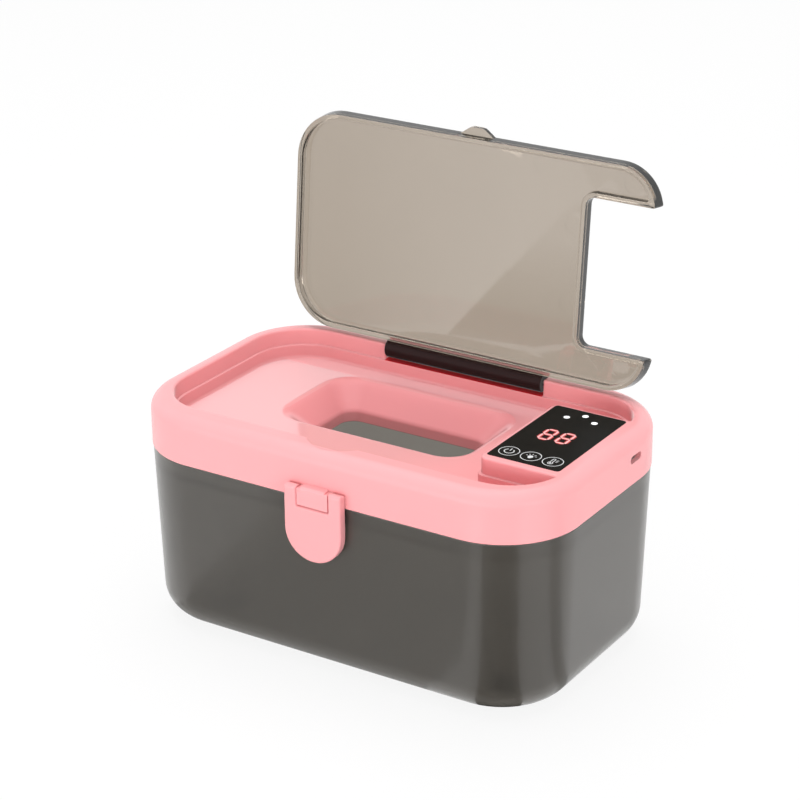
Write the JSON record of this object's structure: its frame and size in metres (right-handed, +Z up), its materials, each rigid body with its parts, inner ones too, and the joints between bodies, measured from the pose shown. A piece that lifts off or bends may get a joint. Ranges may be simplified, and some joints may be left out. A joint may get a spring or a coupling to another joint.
{
  "type": "baby wipe warmer",
  "caption": "Box-shaped wipe warmer with a smoked box, a hinged upper housing with a dispensing slot and control panel, a hinged smoked lid and a front latch.",
  "frame": {"origin": "on the surface that the feet stand on, under the middle of the box", "axes": "+Z up, +X along the front towards the control panel, -Y towards the front latch, +Y towards both hinges"},
  "size_m": [0.2, 0.1314, 0.2026],
  "materials": {
    "smoked_box": "glossy smoked transparent plastic",
    "smoked_lid": "glossy smoked transparent plastic",
    "dark_barrel": "satin dark plastic",
    "pink": "glossy pink plastic",
    "panel_black": "glossy black with lit signs",
    "white_plastic": "satin white",
    "silicone": "soft white silicone",
    "foot_rubber": "matt black rubber",
    "steel": "bright steel",
    "aluminium": "mill finish sheet",
    "film": "amber polyimide film",
    "foam": "closed-cell foam",
    "board": "green solder mask",
    "black_plastic": "satin black",
    "led_white": "clear lamp bodies",
    "wire_red": "silicone-sleeved wire"
  },
  "bodies": {
    "box": {"lower_box": "smoked_box", "rubber_feet": "foot_rubber", "rear_hinge_pins": "steel"},
    "housing": {"upper_housing": "pink", "inner_cover": "white_plastic", "seal_gasket": "silicone", "cover_screws": "steel", "heater_plate": "aluminium", "heating_film": "film", "insulation_pad": "foam", "ntc_sensor": "black_plastic", "thermal_fuse": "steel", "heater_leads": "wire_red", "control_board": "board", "board_screws": "steel", "display_module": "black_plastic", "indicator_leds": "led_white", "touch_springs": "steel", "control_panel": "panel_black", "usb_shell": "steel", "usb_tongue": "black_plastic", "latch_pin": "steel", "lid_hinge_pins": "steel"},
    "lid": {"lid": "smoked_lid", "lid_hinge_barrel": "dark_barrel"},
    "latch": {"latch": "pink"}
  },
  "joints": [
    {"name": "housing_hinge", "type": "hinge", "parent": "box", "child": "housing", "pos_m": [0, 0.0631, 0.07935], "axis": [-1, 0, 0], "range_deg": [0, 90]},
    {"name": "lid_hinge", "type": "hinge", "parent": "housing", "child": "lid", "pos_m": [0, 0.0534, 0.0986], "axis": [1, 0, 0], "range_deg": [0, 95.25]},
    {"name": "latch_hinge", "type": "hinge", "parent": "housing", "child": "latch", "pos_m": [0, -0.06375, 0.0842], "axis": [-1, 0, 0], "range_deg": [0, 110]}
  ]
}
